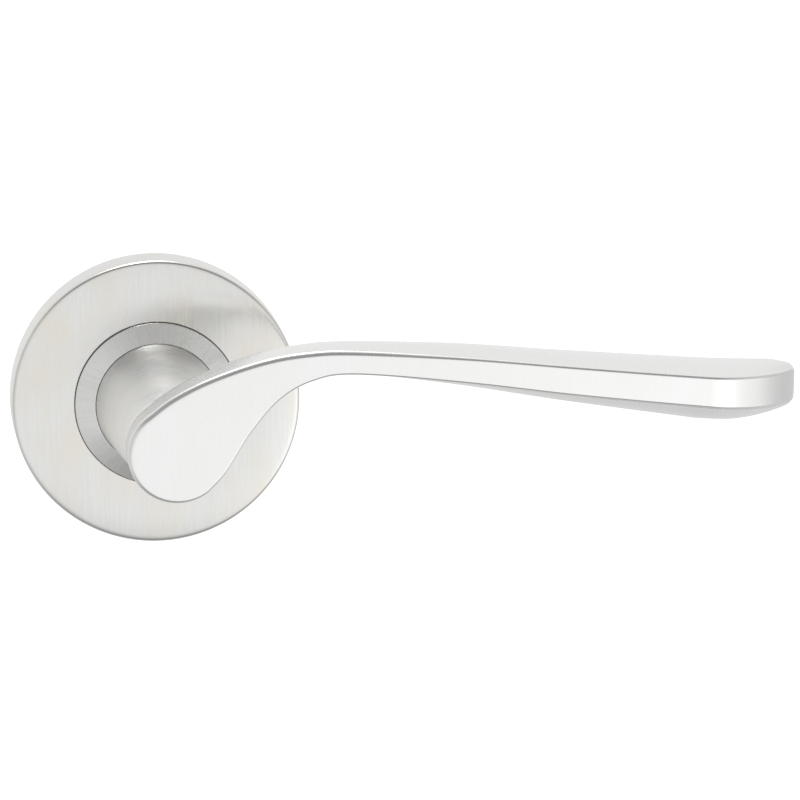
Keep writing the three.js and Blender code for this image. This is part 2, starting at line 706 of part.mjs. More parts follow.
// A square bar with its corners turned back at both ends.
function spindle() {
  const back = SPINDLE_FRONT - SPINDLE_LENGTH;
  const middle = (SPINDLE_FRONT + back) / 2;
  const tip = SPINDLE_SIDE / 2 + 0.2;
  const full = SPINDLE_SIDE * 0.83;
  const taper = 1.6;
  const envelope = turned([
    [0, back],
    [tip, back],
    [full, back + taper],
    [full, SPINDLE_FRONT - taper],
    [tip, SPINDLE_FRONT],
    [0, SPINDLE_FRONT],
  ]);
  return box(SPINDLE_SIDE, SPINDLE_LENGTH, SPINDLE_SIDE, 0, middle, 0).intersect(envelope);
}

// ---------------------------------------------------------------- assembly

add('rose_cover', roseCover(), SATIN_STAINLESS);
add('collar_ring', collarRing(), SATIN_STAINLESS);
add('neck_bush', neckBush(), NYLON);
add('mounting_plate', mountingPlate(), ZINC_CASTING);
add('spring_retainer', springRetainer(), PLATED_STEEL);
SCREW_ANGLES.forEach((degrees, i) => {
  add(`retainer_screw_${i + 1}`, retainerScrew(degrees), PLATED_STEEL);
});
for (const [name, z] of [['upper', BOLT_PITCH / 2], ['lower', -BOLT_PITCH / 2]]) {
  add(`through_bolt_${name}`, throughBolt(z), PLATED_STEEL);
  add(`bolt_post_${name}`, boltPost(z), PLATED_STEEL);
}
CLIP_ANGLES.forEach((degrees, i) => add(`cover_clip_${i + 1}`, coverClip(degrees), SPRING_STEEL));
add('stop_pin', stopPin(), PLATED_STEEL);
add('return_spring', returnSpring(), SPRING_STEEL);
add('spring_cam', springCam(), PLATED_STEEL);
add('thrust_washer', thrustWasher(), PLATED_STEEL);
add('circlip', circlip(), BLACK_STEEL);
add('lever', lever(), SATIN_STAINLESS);
add('grub_screw', grubScrew(), BLACK_STEEL);
add('spindle', spindle(), PLATED_STEEL);

export default part;
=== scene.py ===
"""Looks for the lever handle on a round rose. Row frame, in metres: the door face is y = 0, the handle
stands out of it towards -Y, +Z is up and +X runs along the lever. Shapes are worked out in millimetres as
[x, out, z], where "out" is the distance from the door face towards the user, so y = -out."""

import math

import bmesh
import bpy
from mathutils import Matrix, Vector


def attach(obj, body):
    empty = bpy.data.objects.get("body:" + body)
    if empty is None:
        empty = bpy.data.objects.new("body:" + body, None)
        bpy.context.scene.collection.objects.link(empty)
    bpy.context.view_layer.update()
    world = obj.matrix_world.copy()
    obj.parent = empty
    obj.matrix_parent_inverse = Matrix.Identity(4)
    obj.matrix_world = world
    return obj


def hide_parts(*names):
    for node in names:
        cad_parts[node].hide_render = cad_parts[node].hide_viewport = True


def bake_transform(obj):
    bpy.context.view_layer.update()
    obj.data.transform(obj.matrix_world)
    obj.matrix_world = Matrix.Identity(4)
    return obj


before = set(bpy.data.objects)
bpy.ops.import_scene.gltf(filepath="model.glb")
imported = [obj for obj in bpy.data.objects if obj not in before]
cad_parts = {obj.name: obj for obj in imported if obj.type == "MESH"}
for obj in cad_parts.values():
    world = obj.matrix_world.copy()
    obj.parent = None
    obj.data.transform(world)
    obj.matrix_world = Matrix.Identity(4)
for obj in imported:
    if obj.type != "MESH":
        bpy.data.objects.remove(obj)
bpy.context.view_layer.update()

MM = 0.001

# ------------------------------------------------------------------ node helpers


class Nodes:
    """Short names for building a node tree."""

    def __init__(self, tree):
        self.tree = tree

    def add(self, kind, inputs=None, **settings):
        node = self.tree.nodes.new(kind)
        for name, value in settings.items():
            setattr(node, name, value)
        for name, value in (inputs or {}).items():
            self.put(node.inputs[name], value)
        return node

    def put(self, socket, value):
        if isinstance(value, bpy.types.NodeSocket):
            self.tree.links.new(value, socket)
        else:
            socket.default_value = value

    def maths(self, operation, a, b=0.0):
        node = self.add("ShaderNodeMath", operation=operation)
        self.put(node.inputs[0], a)
        self.put(node.inputs[1], b)
        return node.outputs[0]

    def join(self, x, y, z):
        return self.add("ShaderNodeCombineXYZ", {"X": x, "Y": y, "Z": z}).outputs[0]

    def split(self, vector):
        return self.add("ShaderNodeSeparateXYZ", {"Vector": vector}).outputs

    def dot(self, vector, direction):
        node = self.add("ShaderNodeVectorMath", {0: vector, 1: direction}, operation="DOT_PRODUCT")
        return node.outputs["Value"]

    def noise(self, where, scale=1.0, detail=2.0, roughness=0.5):
        inputs = {"Vector": where, "Scale": scale, "Detail": detail, "Roughness": roughness}
        return self.add("ShaderNodeTexNoise", inputs).outputs[0]

    def spread(self, value, low, high, lowest=0.3, highest=0.7):
        inputs = {"Value": value, "From Min": lowest, "From Max": highest, "To Min": low, "To Max": high}
        return self.add("ShaderNodeMapRange", inputs).outputs[0]

    def blend(self, amount, a, b):
        node = self.add("ShaderNodeMix", data_type="RGBA")
        self.put(node.inputs["Factor"], amount)
        self.put(node.inputs["A"], a)
        self.put(node.inputs["B"], b)
        return node.outputs["Result"]

    def share(self, a, share_a, b, share_b):
        return self.maths("ADD", self.maths("MULTIPLY", a, share_a), self.maths("MULTIPLY", b, share_b))

    def stretched(self, parts, factors):
        """A vector from three values, each multiplied by its own factor."""
        return self.join(*[self.maths("MULTIPLY", part, factor) for part, factor in zip(parts, factors)])


def material(name):
    made = bpy.data.materials.new(name)
    made.use_nodes = True
    made.node_tree.nodes.clear()
    return made, Nodes(made.node_tree)


def finish_material(n, shader):
    out = n.add("ShaderNodeOutputMaterial")
    n.tree.links.new(shader, out.inputs["Surface"])


def scaled(colour, factor):
    """A colour made lighter or darker, with its alpha."""
    return tuple(min(1.0, channel * factor) for channel in colour) + (1.0,)


# ------------------------------------------------------------------ materials

ANISOTROPY = 0.55
GRAIN_HEIGHT = 0.00008
COARSE_SCALE = 0.22
FINE_SHARE = 0.78
COARSE_SHARE = 0.22
STREAK_ACROSS = 0.3
STREAK_ALONG = 0.25
STREAK_DEPTH = 0.6
STAIN_ACROSS = 105.0
STAIN_ALONG = 52.0
STAIN_TINT = (0.99, 0.95, 0.86)

CLOUD_SCALE = 90.0
SPECKLE_SHARE = 0.4
CLOUD_SHARE = 0.6
WORN_LIGHTER = 1.35
CAST_HEIGHT = 0.0001


# Grain coordinates: the second of the three runs along the brushing, so it is stretched.
def grain_linear(n, across, along):
    """Brush lines that run up and down (+Z)."""
    where = n.add("ShaderNodeTexCoord").outputs["Object"]
    part = n.split(where)
    return where, n.stretched((part[0], part[2], part[1]), (across, along, across))


def polar(n):
    """Object coordinates, then the distance from the spindle axis, the angle round it and y."""
    where = n.add("ShaderNodeTexCoord").outputs["Object"]
    part = n.split(where)
    square = n.maths("ADD", n.maths("MULTIPLY", part[0], part[0]), n.maths("MULTIPLY", part[2], part[2]))
    return where, n.maths("SQRT", square), n.maths("ARCTAN2", part[2], part[0]), part[1]


def grain_turned(n, across, along):
    """Brush lines that run round the spindle axis."""
    where, radius, turn, y = polar(n)
    return where, n.stretched((radius, turn, y), (across, along, across))


def grain_radial(n, across, along):
    """Brush lines that run outwards from the spindle axis."""
    where, radius, turn, y = polar(n)
    return where, n.stretched((turn, radius, y), (across, along, along))


def across_grain(n, lie, where):
    """The direction across the brush lines, in which they spread the light."""
    if lie == "up_down":
        return n.join(1.0, 0.0, 0.0)
    if lie == "round_shaft":
        return n.join(0.0, 1.0, 0.0)
    part = n.split(where)
    return n.join(part[0], 0.0, part[2])


def brushed(name, colour, grain, across, along, roughness, lie, contrast, stain, bump=0.12):
    """Satin brushed metal: fine grain in bump, roughness and tone, long streaks and broad warm stains."""
    made, n = material(name)
    where, lines = grain(n, across, along)
    fine = n.noise(lines, 1.0, 3.0, 0.6)
    coarse = n.noise(lines, COARSE_SCALE, 2.0, 0.5)
    cloud = n.noise(grain_linear(n, STAIN_ACROSS, STAIN_ALONG)[1], 1.0, 3.0, 0.5)
    tone = n.share(fine, FINE_SHARE, coarse, COARSE_SHARE)
    dark = scaled(colour, 1 - contrast)
    light = scaled(colour, 1 + contrast / 2)
    base = n.blend(n.spread(tone, 0.0, 1.0), dark, light)
    streaks = n.noise(grain(n, across * STREAK_ACROSS, along * STREAK_ALONG)[1], 1.0, 2.0, 0.5)
    base = n.blend(n.spread(streaks, 0.0, STREAK_DEPTH, 0.48, 0.7), base, dark)
    warm = tuple(channel * tint for channel, tint in zip(colour, STAIN_TINT)) + (1.0,)
    base = n.blend(n.spread(cloud, 0.0, stain, 0.44, 0.64), base, warm)
    uneven = n.spread(cloud, roughness - 0.03, roughness + 0.03)
    rough = n.maths("ADD", n.spread(tone, -0.05, 0.06), uneven)
    surface = n.add("ShaderNodeBsdfPrincipled", {"Base Color": base, "Metallic": 1.0, "Roughness": rough})
    surface.inputs["Anisotropic"].default_value = ANISOTROPY
    height = n.add("ShaderNodeBump", {"Height": tone, "Strength": bump, "Distance": GRAIN_HEIGHT})
    n.put(surface.inputs["Normal"], height.outputs[0])
    n.put(surface.inputs["Tangent"], across_grain(n, lie, where))
    finish_material(n, surface.outputs[0])
    return made


def plain_metal(name, colour, roughness, grain_size, variation, metallic=1.0, bump=0.08):
    """Cast, plated or moulded finish: mottled tone, uneven roughness and worn edges."""
    made, n = material(name)
    where = n.add("ShaderNodeTexCoord").outputs["Object"]
    speckle = n.noise(where, grain_size, 4.0, 0.6)
    cloud = n.noise(where, CLOUD_SCALE, 3.0, 0.55)
    edge = n.add("ShaderNodeNewGeometry").outputs["Pointiness"]
    mottled = n.share(speckle, SPECKLE_SHARE, cloud, CLOUD_SHARE)
    dark = scaled(colour, 1 - variation)
    light = scaled(colour, 1 + variation * 0.5)
    base = n.blend(n.spread(mottled, 0.0, 1.0), dark, light)
    base = n.blend(n.spread(edge, 0.0, 0.5, 0.53, 0.62), base, scaled(colour, WORN_LIGHTER))
    rough = n.spread(cloud, roughness - 0.08, roughness + 0.08)
    inputs = {"Base Color": base, "Metallic": metallic, "Roughness": rough}
    surface = n.add("ShaderNodeBsdfPrincipled", inputs)
    height = n.add("ShaderNodeBump", {"Height": speckle, "Strength": bump, "Distance": CAST_HEIGHT})
    n.put(surface.inputs["Normal"], height.outputs[0])
    finish_material(n, surface.outputs[0])
    return made


rose_steel = brushed(
    "rose_satin", (0.77, 0.768, 0.752), grain_linear, 8500, 90, 0.225, "up_down", contrast=0.06, stain=0.6
)
lever_steel = brushed(
    "lever_satin", (0.88, 0.88, 0.876), grain_linear, 7500, 120, 0.27, "up_down", contrast=0.025,
    stain=0.12, bump=0.045,
)
turned_steel = brushed(
    "collar_satin", (0.70, 0.70, 0.69), grain_radial, 55, 400, 0.25, "round_face", contrast=0.09,
    stain=0.2, bump=0.05,
)
# Painted light: the neck and shank are the lever's own steel, given a lighter colour than the grip's to stand
# in for the light the neck catches.
neck_steel_painted_lighter = brushed(
    "neck_satin_painted_lighter", (0.95, 0.95, 0.935), grain_turned, 6000, 4.0, 0.32, "round_shaft", contrast=0.08,
    stain=0.15, bump=0.1,
)
zinc = plain_metal("zinc_casting", (0.47, 0.48, 0.49), 0.48, 1400.0, 0.2, bump=0.35)
plated = plain_metal("plated_steel", (0.66, 0.64, 0.58), 0.30, 700.0, 0.15)
spring = plain_metal("spring_steel", (0.30, 0.30, 0.31), 0.34, 800.0, 0.3)
black = plain_metal("black_steel", (0.045, 0.045, 0.048), 0.42, 900.0, 0.4, bump=0.12)
nylon = plain_metal("nylon", (0.86, 0.84, 0.78), 0.5, 500.0, 0.05, metallic=0.0, bump=0.05)

# ------------------------------------------------------------------ mesh helpers

MERGE_DISTANCE = 1e-7
TINY = 1e-9
# Radius of the pin-hole at which a turned end stops short of its axis.
AXIS_RADIUS = 0.02


def new_object(name, points, faces):
    """An object in the scene from points in millimetres [x, out, z]."""
    data = bpy.data.meshes.new(name)
    data.from_pydata([(x * MM, -out * MM, z * MM) for x, out, z in points], [], faces)
    piece = bpy.data.objects.new(name, data)
    bpy.context.scene.collection.objects.link(piece)
    return piece


def outward(piece):
    """Doubled points joined, and faces turned to look out of a closed piece."""
    work = bmesh.new()
    work.from_mesh(piece.data)
    bmesh.ops.remove_doubles(work, verts=work.verts, dist=MERGE_DISTANCE)
    bmesh.ops.recalc_face_normals(work, faces=work.faces)
    work.to_mesh(piece.data)
    work.free()


def mesh_object(name, points, faces, look, slot, body, *nodes):
    """A smooth-shaded visible piece, with the body it rides on and the CAD nodes it stands for."""
    piece = new_object(name, points, faces)
    piece.data.validate()
    piece.data.polygons.foreach_set("use_smooth", [True] * len(piece.data.polygons))
    piece.data.materials.append(look)
    outward(piece)
    if nodes:
        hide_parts(*nodes)
    if body:
        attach(piece, body)
    return piece


def grid_faces(rows, columns, close_rows=False, close_columns=False):
    faces = []
    for i in range(rows if close_rows else rows - 1):
        k = (i + 1) % rows
        for j in range(columns if close_columns else columns - 1):
            after = (j + 1) % columns
            faces.append((i * columns + j, i * columns + after, k * columns + after, k * columns + j))
    return faces


def tube_faces(rows, columns):
    """The faces of a tube of point rings, closed by a flat face at each end."""
    faces = grid_faces(rows, columns, False, True)
    faces.append(tuple(range(columns)))
    faces.append(tuple((rows - 1) * columns + j for j in range(columns)))
    return faces


def lathe(profile, segments, x=0.0, z=0.0, closed=True):
    """Points and faces of [radius, out] pairs turned about an axis parallel to the spindle's."""
    points = []
    for i in range(segments):
        turn = 2 * math.pi * i / segments
        points += [(x + r * math.cos(turn), out, z + r * math.sin(turn)) for r, out in profile]
    return points, grid_faces(segments, len(profile), True, closed)


def arc(centre_r, centre_out, radius, start, end, steps):
    turns = [math.radians(start + (end - start) * i / steps) for i in range(steps + 1)]
    return [(centre_r + radius * math.cos(t), centre_out + radius * math.sin(t)) for t in turns]


def crisp(profile, spread=0.06):
    """The profile with a point close on each side of every corner, so that flats shade flat."""
    out = []
    for (a, b), (c, d) in zip(profile, profile[1:] + profile[:1]):
        length = math.hypot(c - a, d - b)
        out.append((a, b))
        if length > 4 * spread:
            f = spread / length
            out.append((a + (c - a) * f, b + (d - b) * f))
            out.append((c - (c - a) * f, d - (d - b) * f))
    return out


def smooth(x, low, high):
    t = min(1.0, max(0.0, (x - low) / (high - low)))
    return t * t * (3 - 2 * t)


def mix(a, b, t):
    return a + (b - a) * t


# ------------------------------------------------------------------ rose and collar

ROSE = 32.5
DEPTH = 10.0
WALL = 1.2
HOLE = 18.45
HOLE_EDGE = 0.2
REAR_EDGE = 0.4
INNER_REAR = 31.25
INNER_FRONT = 31.0
DOME = 0.5
DOME_START = 21.0
DOME_RUN = 10.3
DOME_POWER = 2.4
FACE_RIM = 31.3
RIM_ROUND = 0.95
RIM_CENTRE = 0.98
FACE_RADII = (FACE_RIM, 30.8, 30.2, 29.4, 28.4, 27.2, 26.0, 24.5, 22.8, 20.8, 19.4, 18.8)

COLLAR = 18.36
COLLAR_EDGE = 0.2
COLLAR_REAR = 8.1
COLLAR_CORNER = 10.36
COLLAR_STEP = 16.7
COLLAR_BORE = 13.92
COLLAR_SEAT = 9.7
COLLAR_FRONT = 11.9

ROSE_SEGMENTS = 240
COLLAR_SEGMENTS = 200


def rose_face(r):
    """The cover's face is flat by its hole and falls away towards its rim."""
    return DEPTH - DOME * max(0.0, (r - DOME_START) / DOME_RUN) ** DOME_POWER


def build_rose():
    profile = [(ROSE, 0.0), (ROSE, REAR_EDGE)]
    profile += arc(FACE_RIM, rose_face(FACE_RIM) - RIM_CENTRE, RIM_ROUND, 2, 72, 10)
    profile += [(r, rose_face(r)) for r in FACE_RADII]
    profile += arc(HOLE + HOLE_EDGE, DEPTH - HOLE_EDGE, HOLE_EDGE, 90, 180, 4)
    profile += [(HOLE, DEPTH - WALL), (INNER_FRONT, DEPTH - WALL), (INNER_REAR, 0.0)]
    points, faces = lathe(profile, ROSE_SEGMENTS)
    mesh_object("rose_shell", points, faces, rose_steel, "rose_satin", "cover", "rose_cover")


def build_collar():
    profile = [(COLLAR_STEP, COLLAR_REAR), (COLLAR, COLLAR_REAR)]
    profile += arc(COLLAR - COLLAR_EDGE, COLLAR_CORNER, COLLAR_EDGE, 0, 70, 6)
    profile += [(COLLAR_BORE, COLLAR_FRONT), (COLLAR_BORE, COLLAR_SEAT), (COLLAR_STEP, COLLAR_SEAT)]
    points, faces = lathe(crisp(profile), COLLAR_SEGMENTS)
    mesh_object("collar", points, faces, turned_steel, "collar_satin", "fixed", "collar_ring")


build_rose()
build_collar()

# ------------------------------------------------------------------ lever

PROJECTION = 62.0
HEAD = 10.2
HEAD_DEPTH = 11.5
HEAD_TILT = math.radians(128)
ARM_DEPTH = 14.5
GRIP_DEPTH = 25
GRIP_END = 138.0
TIP_DEPTH = 21.0
TIP_FLAT = 1.4
TIP_NARROWING = 0.35
TIP_ROUND = 2.5
FRONT_TURN = 114
FRONT_TURN_POWER = 1.5
BACK_TURN = 126
BACK_TURN_POWER = 2
ARM_DEEPENS = (22, 62)
GRIP_DEEPENS = (46, 126)

# Swell of the upper and lower sides, and where along the lever each grows and fades.
CROWN = 1.6
CROWN_GROWS = (12, 70)
CROWN_FADES = (130, 142)
BELLY = 4.5
BELLY_START = 26
BELLY_RUN = 86
BELLY_POWER = 1.1
BELLY_FADES = (118, 148)

# Power of the back's section, near the head and along the grip.
HEAD_POWER = 12
GRIP_POWER = 6
POWER_CHANGES = (20, 80)

# Width of the broken edge round the front face.
UPPER_EDGE_HEAD = 1.15
UPPER_EDGE_GRIP = 0.6
UPPER_EDGE_CHANGES = (25, 70)
LOWER_EDGE = 0.42
FACE_STEPS = [0.0, 0.35, 0.7, 0.95]
BACK_STEPS = 26

# The broken edge's slope in degrees, and the share of its steps at which it has reached each.
GENTLE_SLOPE = 25
STEEP_SLOPE = 42
GENTLE_AT = 0.12
STEEP_AT = 0.62

# Upper and lower edge of the lever in the plane of the door, from the head to the tip.
PAIRS = [
    (
        (HEAD * math.cos(HEAD_TILT), HEAD * math.sin(HEAD_TILT)),
        (-HEAD * math.cos(HEAD_TILT), -HEAD * math.sin(HEAD_TILT)),
    ),
    ((-0.6, 12.1), (9.9, -4.1)),
    ((7.2, 15.8), (15.2, 4.1)),
    ((17.7, 19.1), (21.3, 10.9)),
    ((27.0, 20.5), (28.2, 14.5)),
    ((37.0, 20.5), (37.0, 15.5)),
    ((58.8, 18.5), (58.8, 13.1)),
    ((84.0, 15.6), (84.0, 9.4)),
    ((110.0, 12.8), (110.0, 6.1)),
    ((GRIP_END, 10.2), (GRIP_END, 2.9)),
]


def along_edge(side, s):
    """A uniform Catmull-Rom curve through one side's points, its ends mirrored."""
    p = [Vector(pair[side]) for pair in PAIRS]
    p = [2 * p[0] - p[1]] + p + [2 * p[-1] - p[-2]]
    at = s * (len(PAIRS) - 1)
    i = min(int(at), len(PAIRS) - 2)
    t = at - i
    a, b, c, d = p[i : i + 4]
    return 0.5 * (2 * b + (c - a) * t + (2 * a - 5 * b + 4 * c - d) * t**2 + (3 * b - a - 3 * c + d) * t**3)


def corner(x, start, power):
    """How far a rounded corner that begins at start has gone in at x, from 0 to 1 at the grip's end."""
    t = min(1.0, max(0.0, (x - start) / (GRIP_END - start)))
    return 1 - (1 - t**power) ** (1 / power)


def front_depth(x):
    return TIP_DEPTH * corner(x, FRONT_TURN, FRONT_TURN_POWER)


def back_depth(x):
    arm = mix(HEAD_DEPTH, ARM_DEPTH, smooth(x, *ARM_DEEPENS))
    grip = mix(arm, GRIP_DEPTH, smooth(x, *GRIP_DEEPENS))
    return mix(grip, TIP_DEPTH + TIP_FLAT, corner(x, BACK_TURN, BACK_TURN_POWER))


def edge_slope(share):
    """The broken edge turns in fast, lingers between the gentle and the steep slope and turns down fast."""
    if share < GENTLE_AT:
        return GENTLE_SLOPE * share / GENTLE_AT
    if share < STEEP_AT:
        return mix(GENTLE_SLOPE, STEEP_SLOPE, (share - GENTLE_AT) / (STEEP_AT - GENTLE_AT))
    return mix(STEEP_SLOPE, 90, (share - STEEP_AT) / (1 - STEEP_AT))


def broken_edge(steps=9):
    """A rounded-over edge of unit width, as [across, deep]."""
    points = [(0.0, 0.0)]
    x = 0.0
    y = 0.0
    for i in range(steps):
        slope = math.radians(edge_slope((i + 0.5) / steps))
        x += math.cos(slope)
        y += math.sin(slope)
        points.append((x, y))
    return [(a / x, b / x) for a, b in points]


BROKEN_EDGE = broken_edge()
EDGE_DEEP = BROKEN_EDGE[-1][1]


def half_section(x, half, swell, power, edge):
    """[offset, depth] from the middle of the front face, round the edge and back to the middle behind."""
    front = front_depth(x)
    back = back_depth(x)
    flat = half - edge
    points = [(flat * f, front) for f in FACE_STEPS]
    points += [(flat + edge * a, front + edge * b) for a, b in BROKEN_EDGE]
    for i in range(1, BACK_STEPS + 1):
        share = math.sin(math.pi / 2 * i / BACK_STEPS)
        closing = math.sqrt(max(0.0, 1 - share**power))
        bulge = swell * math.sin(math.pi * share) * math.sqrt(closing)
        points.append((half * closing + bulge, mix(front + edge * EDGE_DEEP, back, share)))
    return points


def section(s):
    upper = along_edge(0, s)
    lower = along_edge(1, s)
    middle = (upper + lower) / 2
    across = (upper - lower).normalized()
    x = middle.x
    half = (upper - lower).length / 2 * (1 - TIP_NARROWING * corner(x, GRIP_END - TIP_ROUND, 2))
    crown = CROWN * smooth(x, *CROWN_GROWS) * (1 - smooth(x, *CROWN_FADES))
    grown = min(1.0, max(0.0, (x - BELLY_START) / BELLY_RUN)) ** BELLY_POWER
    belly = BELLY * grown * (1 - smooth(x, *BELLY_FADES))
    power = mix(HEAD_POWER, GRIP_POWER, smooth(x, *POWER_CHANGES))
    edge = mix(UPPER_EDGE_HEAD, UPPER_EDGE_GRIP, smooth(x, *UPPER_EDGE_CHANGES))

    def at(offset, depth, side):
        p = middle + across * offset * side
        return (p.x, PROJECTION - depth, p.y)

    top = [at(o, d, 1) for o, d in half_section(x, half, crown, power, edge)]
    bottom = [at(o, d, -1) for o, d in half_section(x, half, belly, power, LOWER_EDGE)]
    return top + bottom[-2:0:-1]


def head_points(ring, half, fan):
    """The head: the first section's upper half turned about the spindle axis into its lower half."""
    upper = ring[:half]
    lower = [ring[0]] + ring[: half - 2 : -1]
    points = []
    for i in range(fan + 1):
        turn = math.pi * i / fan
        c = math.cos(turn)
        s = math.sin(turn)
        for j, (x, out, z) in enumerate(upper):
            r = mix(math.hypot(x, z), math.hypot(lower[j][0], lower[j][2]), i / fan)
            f = r / max(TINY, math.hypot(x, z)) if j else 1.0
            points.append(((x * c - z * s) * f, mix(out, lower[j][1], i / fan), (x * s + z * c) * f))
    return points


def build_lever(stations=190, fan=60):
    rings = [section(math.sin(math.pi / 2 * i / stations) ** 1.1) for i in range(stations + 1)]
    count = len(rings[0])
    points = [p for ring in rings for p in ring]
    faces = grid_faces(stations + 1, count, False, True)
    faces.append(tuple(range(stations * count, (stations + 1) * count)))
    half = len(FACE_STEPS) + len(BROKEN_EDGE) + BACK_STEPS
    start = len(points)
    points += head_points(rings[0], half, fan)
    faces += [tuple(start + k for k in face) for face in grid_faces(fan + 1, half)]
    mesh_object("lever_grip", points, faces, lever_steel, "lever_satin", "lever", "lever")


# ------------------------------------------------------------------ neck and shank

SHANK = 10.0
NECK_BASE = 13.85
NECK_BASE_OUT = 11.5
NECK_TOP = 9.9
NECK_TOP_OUT = 50.5
NECK_END_OUT = 54.0
NECK_STEPS = 60
NECK_SEGMENTS = 200
SHANK_FRONT = 9.7

FLATS = 8.0
FLATS_FRONT = 5.8
GROOVE = 9.1
GROOVE_REAR = 1.4
GROOVE_FRONT = 3.1
SHANK_REAR = 0.5
SOCKET = 4.3
SOCKET_FRONT = 32.0
CHAMFER = 0.4


def build_neck():
    profile = [(SHANK + 0.05, SHANK_FRONT), (NECK_BASE, SHANK_FRONT)]
    for i in range(NECK_STEPS + 1):
        share = i / NECK_STEPS
        profile.append((mix(NECK_BASE, NECK_TOP, share), mix(NECK_BASE_OUT, NECK_TOP_OUT, share)))
    profile += [(NECK_TOP, NECK_END_OUT), (AXIS_RADIUS, NECK_END_OUT + 0.2)]
    points, faces = lathe(profile, NECK_SEGMENTS, closed=False)
    mesh_object("lever_neck", points, faces, neck_steel_painted_lighter, "lever_satin", "lever")


def build_shank(segments=192):
    """The shank's rear end with its flats and the square socket, as rings of matching angles."""
    socket = [(SOCKET_FRONT, SOCKET), (SHANK_REAR + CHAMFER, SOCKET), (SHANK_REAR, SOCKET + CHAMFER)]
    # Radius, distance out, and the distance of the two flats from the axis there.
    outer = [
        (SHANK - CHAMFER, SHANK_REAR, FLATS - CHAMFER / 2),
        (SHANK, SHANK_REAR + CHAMFER, FLATS),
        (SHANK, GROOVE_REAR, FLATS),
        (GROOVE, GROOVE_REAR, FLATS),
        (GROOVE, GROOVE_FRONT, FLATS),
        (SHANK, GROOVE_FRONT, FLATS),
        (SHANK, FLATS_FRONT, FLATS),
        (SHANK, FLATS_FRONT, SHANK),
        (SHANK, SHANK_FRONT, SHANK),
    ]
    points = []
    for i in range(segments):
        turn = 2 * math.pi * i / segments
        c = math.cos(turn)
        s = math.sin(turn)
        square = 1 / max(abs(c), abs(s))
        ring = [(square * side, out) for out, side in socket]
        ring += [(min(r, flat / max(TINY, abs(c))), out) for r, out, flat in outer]
        points += [(r * c, out, r * s) for r, out in ring]
    faces = grid_faces(segments, len(socket) + len(outer), True, False)
    mesh_object("lever_shank", points, faces, neck_steel_painted_lighter, "lever_satin", "lever")


build_lever()
build_neck()
build_shank()

# ------------------------------------------------------------------ bolts, posts and screws

BOLT_PITCH = 50.0
BOLT_RADIUS = 2.0
BOLT_TIP = -22.0
BOLT_SEAT = 3.3
BOLT_OVERLAP = 0.2
BOLT_CHAMFER = 0.7
THREAD_PITCH = 0.7
THREAD_DEPTH = 0.32
THREAD_STEEPNESS = 1.25
THREAD_FADES = (-2.0, 0.0)
BOLT_HEAD_RADIUS = 3.8
BOLT_HEAD_CREST = 5.5
BOLT_STEM = (BOLT_RADIUS, BOLT_SEAT - 0.4)

POST = 3.6
POST_BORE = 2.35
POST_REAR = -8.0
POST_FRONT = 2.7
POST_CHAMFER = 0.3
POST_SEGMENTS = 96

SCREW_COUNT = 3
SCREW_CIRCLE = 22.6
SCREW_RADIUS = 2.5
SCREW_SEAT = 0.75
SCREW_CREST = 0.02
SCREW_STEM = (1.45, 5.0)

HEAD_STEPS = 12
HEAD_SEGMENTS = 72
HEAD_ROUND = 0.4
RECESS_DEPTH = 0.55
RECESS_LENGTH = 0.62
RECESS_WIDTH = 0.13
RECESS_FLOOR = 0.6
RECESS_MOUTH = 1.1
RECESS_ABOVE = 0.2
SHARP = math.radians(40)


def threaded_shaft(z, columns=40, rows_per_pitch=8):
    """A rolled thread as rows of points whose radius follows a helix; the point of the bolt is chamfered."""
    top = BOLT_SEAT + BOLT_OVERLAP
    rows = int((top - BOLT_TIP) / THREAD_PITCH * rows_per_pitch)
    points = []
    for i in range(rows + 1):
        out = mix(BOLT_TIP, top, i / rows)
        plain = smooth(out, *THREAD_FADES)
        chamfer = BOLT_CHAMFER * max(0.0, 1 - (out - BOLT_TIP) / BOLT_CHAMFER)
        for j in range(columns):
            share = (out / THREAD_PITCH + j / columns) % 1.0
            groove = min(1.0, THREAD_STEEPNESS * (1 - abs(2 * share - 1)))
            radius = min(BOLT_RADIUS - THREAD_DEPTH * groove * (1 - plain), BOLT_RADIUS - chamfer)
            turn = 2 * math.pi * j / columns
            points.append((radius * math.cos(turn), out, z + radius * math.sin(turn)))
    return points, tube_faces(rows + 1, columns)


def recess_arm(x, z, crest, depth, wide, high):
    """One arm of a cruciform driver recess, narrowing from the crest of the head inwards."""
    corners = ((-1, -1), (1, -1), (1, 1), (-1, 1))
    points = []
    for out, scale in ((crest - depth, RECESS_FLOOR), (crest + RECESS_ABOVE * depth, RECESS_MOUTH)):
        points += [(x + sx * wide * scale, out, z + sz * high * scale) for sx, sz in corners]
    faces = [(0, 1, 2, 3), (7, 6, 5, 4)]
    faces += [(k, (k + 1) % 4, 4 + (k + 1) % 4, 4 + k) for k in range(4)]
    arm = new_object("recess_arm", points, faces)
    outward(arm)
    return arm


def cut_recess(head, arms):
    """The driver recess, cut into the head's own mesh."""
    for arm in arms:
        cut = head.modifiers.new("recess", "BOOLEAN")
        cut.operation = "DIFFERENCE"
        cut.solver = "EXACT"
        cut.object = arm
    bpy.context.view_layer.update()
    whole = head.evaluated_get(bpy.context.evaluated_depsgraph_get())
    shaped = bpy.data.meshes.new_from_object(whole)
    head.modifiers.clear()
    head.data = shaped
    for arm in arms:
        bpy.data.objects.remove(arm)
    shaped.shade_smooth()
    shaped.set_sharp_from_angle(angle=SHARP)


